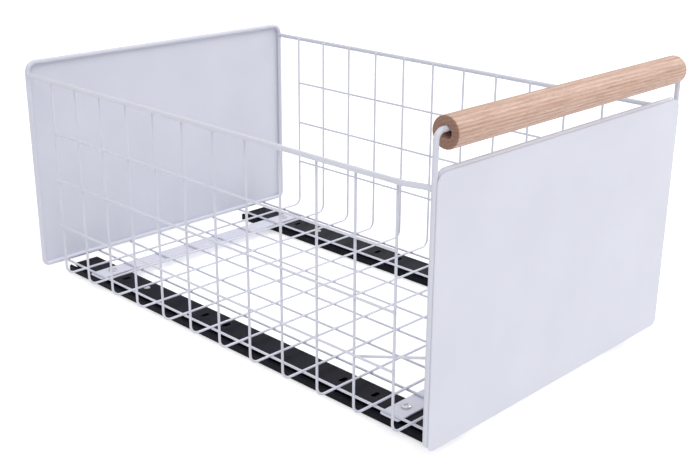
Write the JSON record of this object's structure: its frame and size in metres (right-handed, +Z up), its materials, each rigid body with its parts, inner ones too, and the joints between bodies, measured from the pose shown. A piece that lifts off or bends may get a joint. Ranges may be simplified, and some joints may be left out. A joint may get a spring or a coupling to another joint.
{
  "type": "pull out cabinet basket",
  "caption": "Pull-out cabinet basket of welded wire with sheet metal ends and a round wooden grip, on ball-bearing slides for the cabinet floor.",
  "frame": {"origin": "on the cabinet floor under the middle of the whole object, basket closed", "axes": "+Z up, +Y to the back of the cabinet, +X to the right seen from the front; the basket pulls out along -Y"},
  "size_m": [0.301, 0.4773, 0.2383],
  "materials": {
    "white_coat": "satin white powder coat on steel wire, rod and strap",
    "white_panel": "satin white powder coat on steel sheet",
    "black_steel": "black electro-coated rolled steel, semi-gloss",
    "zinc": "bright zinc plate",
    "cage_steel": "plain zinc-plated strip",
    "ball_steel": "polished bearing steel",
    "rubber_buffer": "matt black rubber",
    "oak": "clear satin oak"
  },
  "bodies": {
    "rails": {"rail_left": "black_steel", "rail_right": "black_steel", "rail_buffers": "rubber_buffer"},
    "basket": {"cross_wires": "white_coat", "floor_wires": "white_coat", "side_wires_left": "white_coat", "side_wires_right": "white_coat", "rim_left": "white_coat", "rim_right": "white_coat", "side_braces": "white_coat", "back_frame": "white_coat", "back_panel": "white_panel", "front_frame": "white_coat", "front_top_rod": "white_coat", "front_panel": "white_panel", "strap_rear": "white_coat", "strap_front": "white_coat", "strap_screws": "zinc", "runner_left": "black_steel", "runner_right": "black_steel", "runner_rivets": "zinc"},
    "ball_cage_left": {"cage_left": "cage_steel", "balls_left": "ball_steel"},
    "ball_cage_right": {"cage_right": "cage_steel", "balls_right": "ball_steel"},
    "grip": {"wood_grip": "oak"}
  },
  "joints": [
    {"name": "basket_slide", "type": "slide", "parent": "rails", "child": "basket", "axis": [0, -1, 0], "range_m": [0, 0.335]},
    {"name": "cage_slide_left", "type": "slide", "parent": "rails", "child": "ball_cage_left", "axis": [0, -1, 0], "range_m": [0, 0.1675]},
    {"name": "cage_slide_right", "type": "slide", "parent": "rails", "child": "ball_cage_right", "axis": [0, -1, 0], "range_m": [0, 0.1675]},
    {"name": "grip_spin", "type": "hinge", "parent": "basket", "child": "grip", "pos_m": [0, -0.2279, 0.22754], "axis": [1, 0, 0], "continuous": true}
  ],
  "couplings": [
    {"joint": "cage_slide_left", "follows": "basket_slide", "ratio": 0.5},
    {"joint": "cage_slide_right", "follows": "basket_slide", "ratio": 0.5}
  ]
}
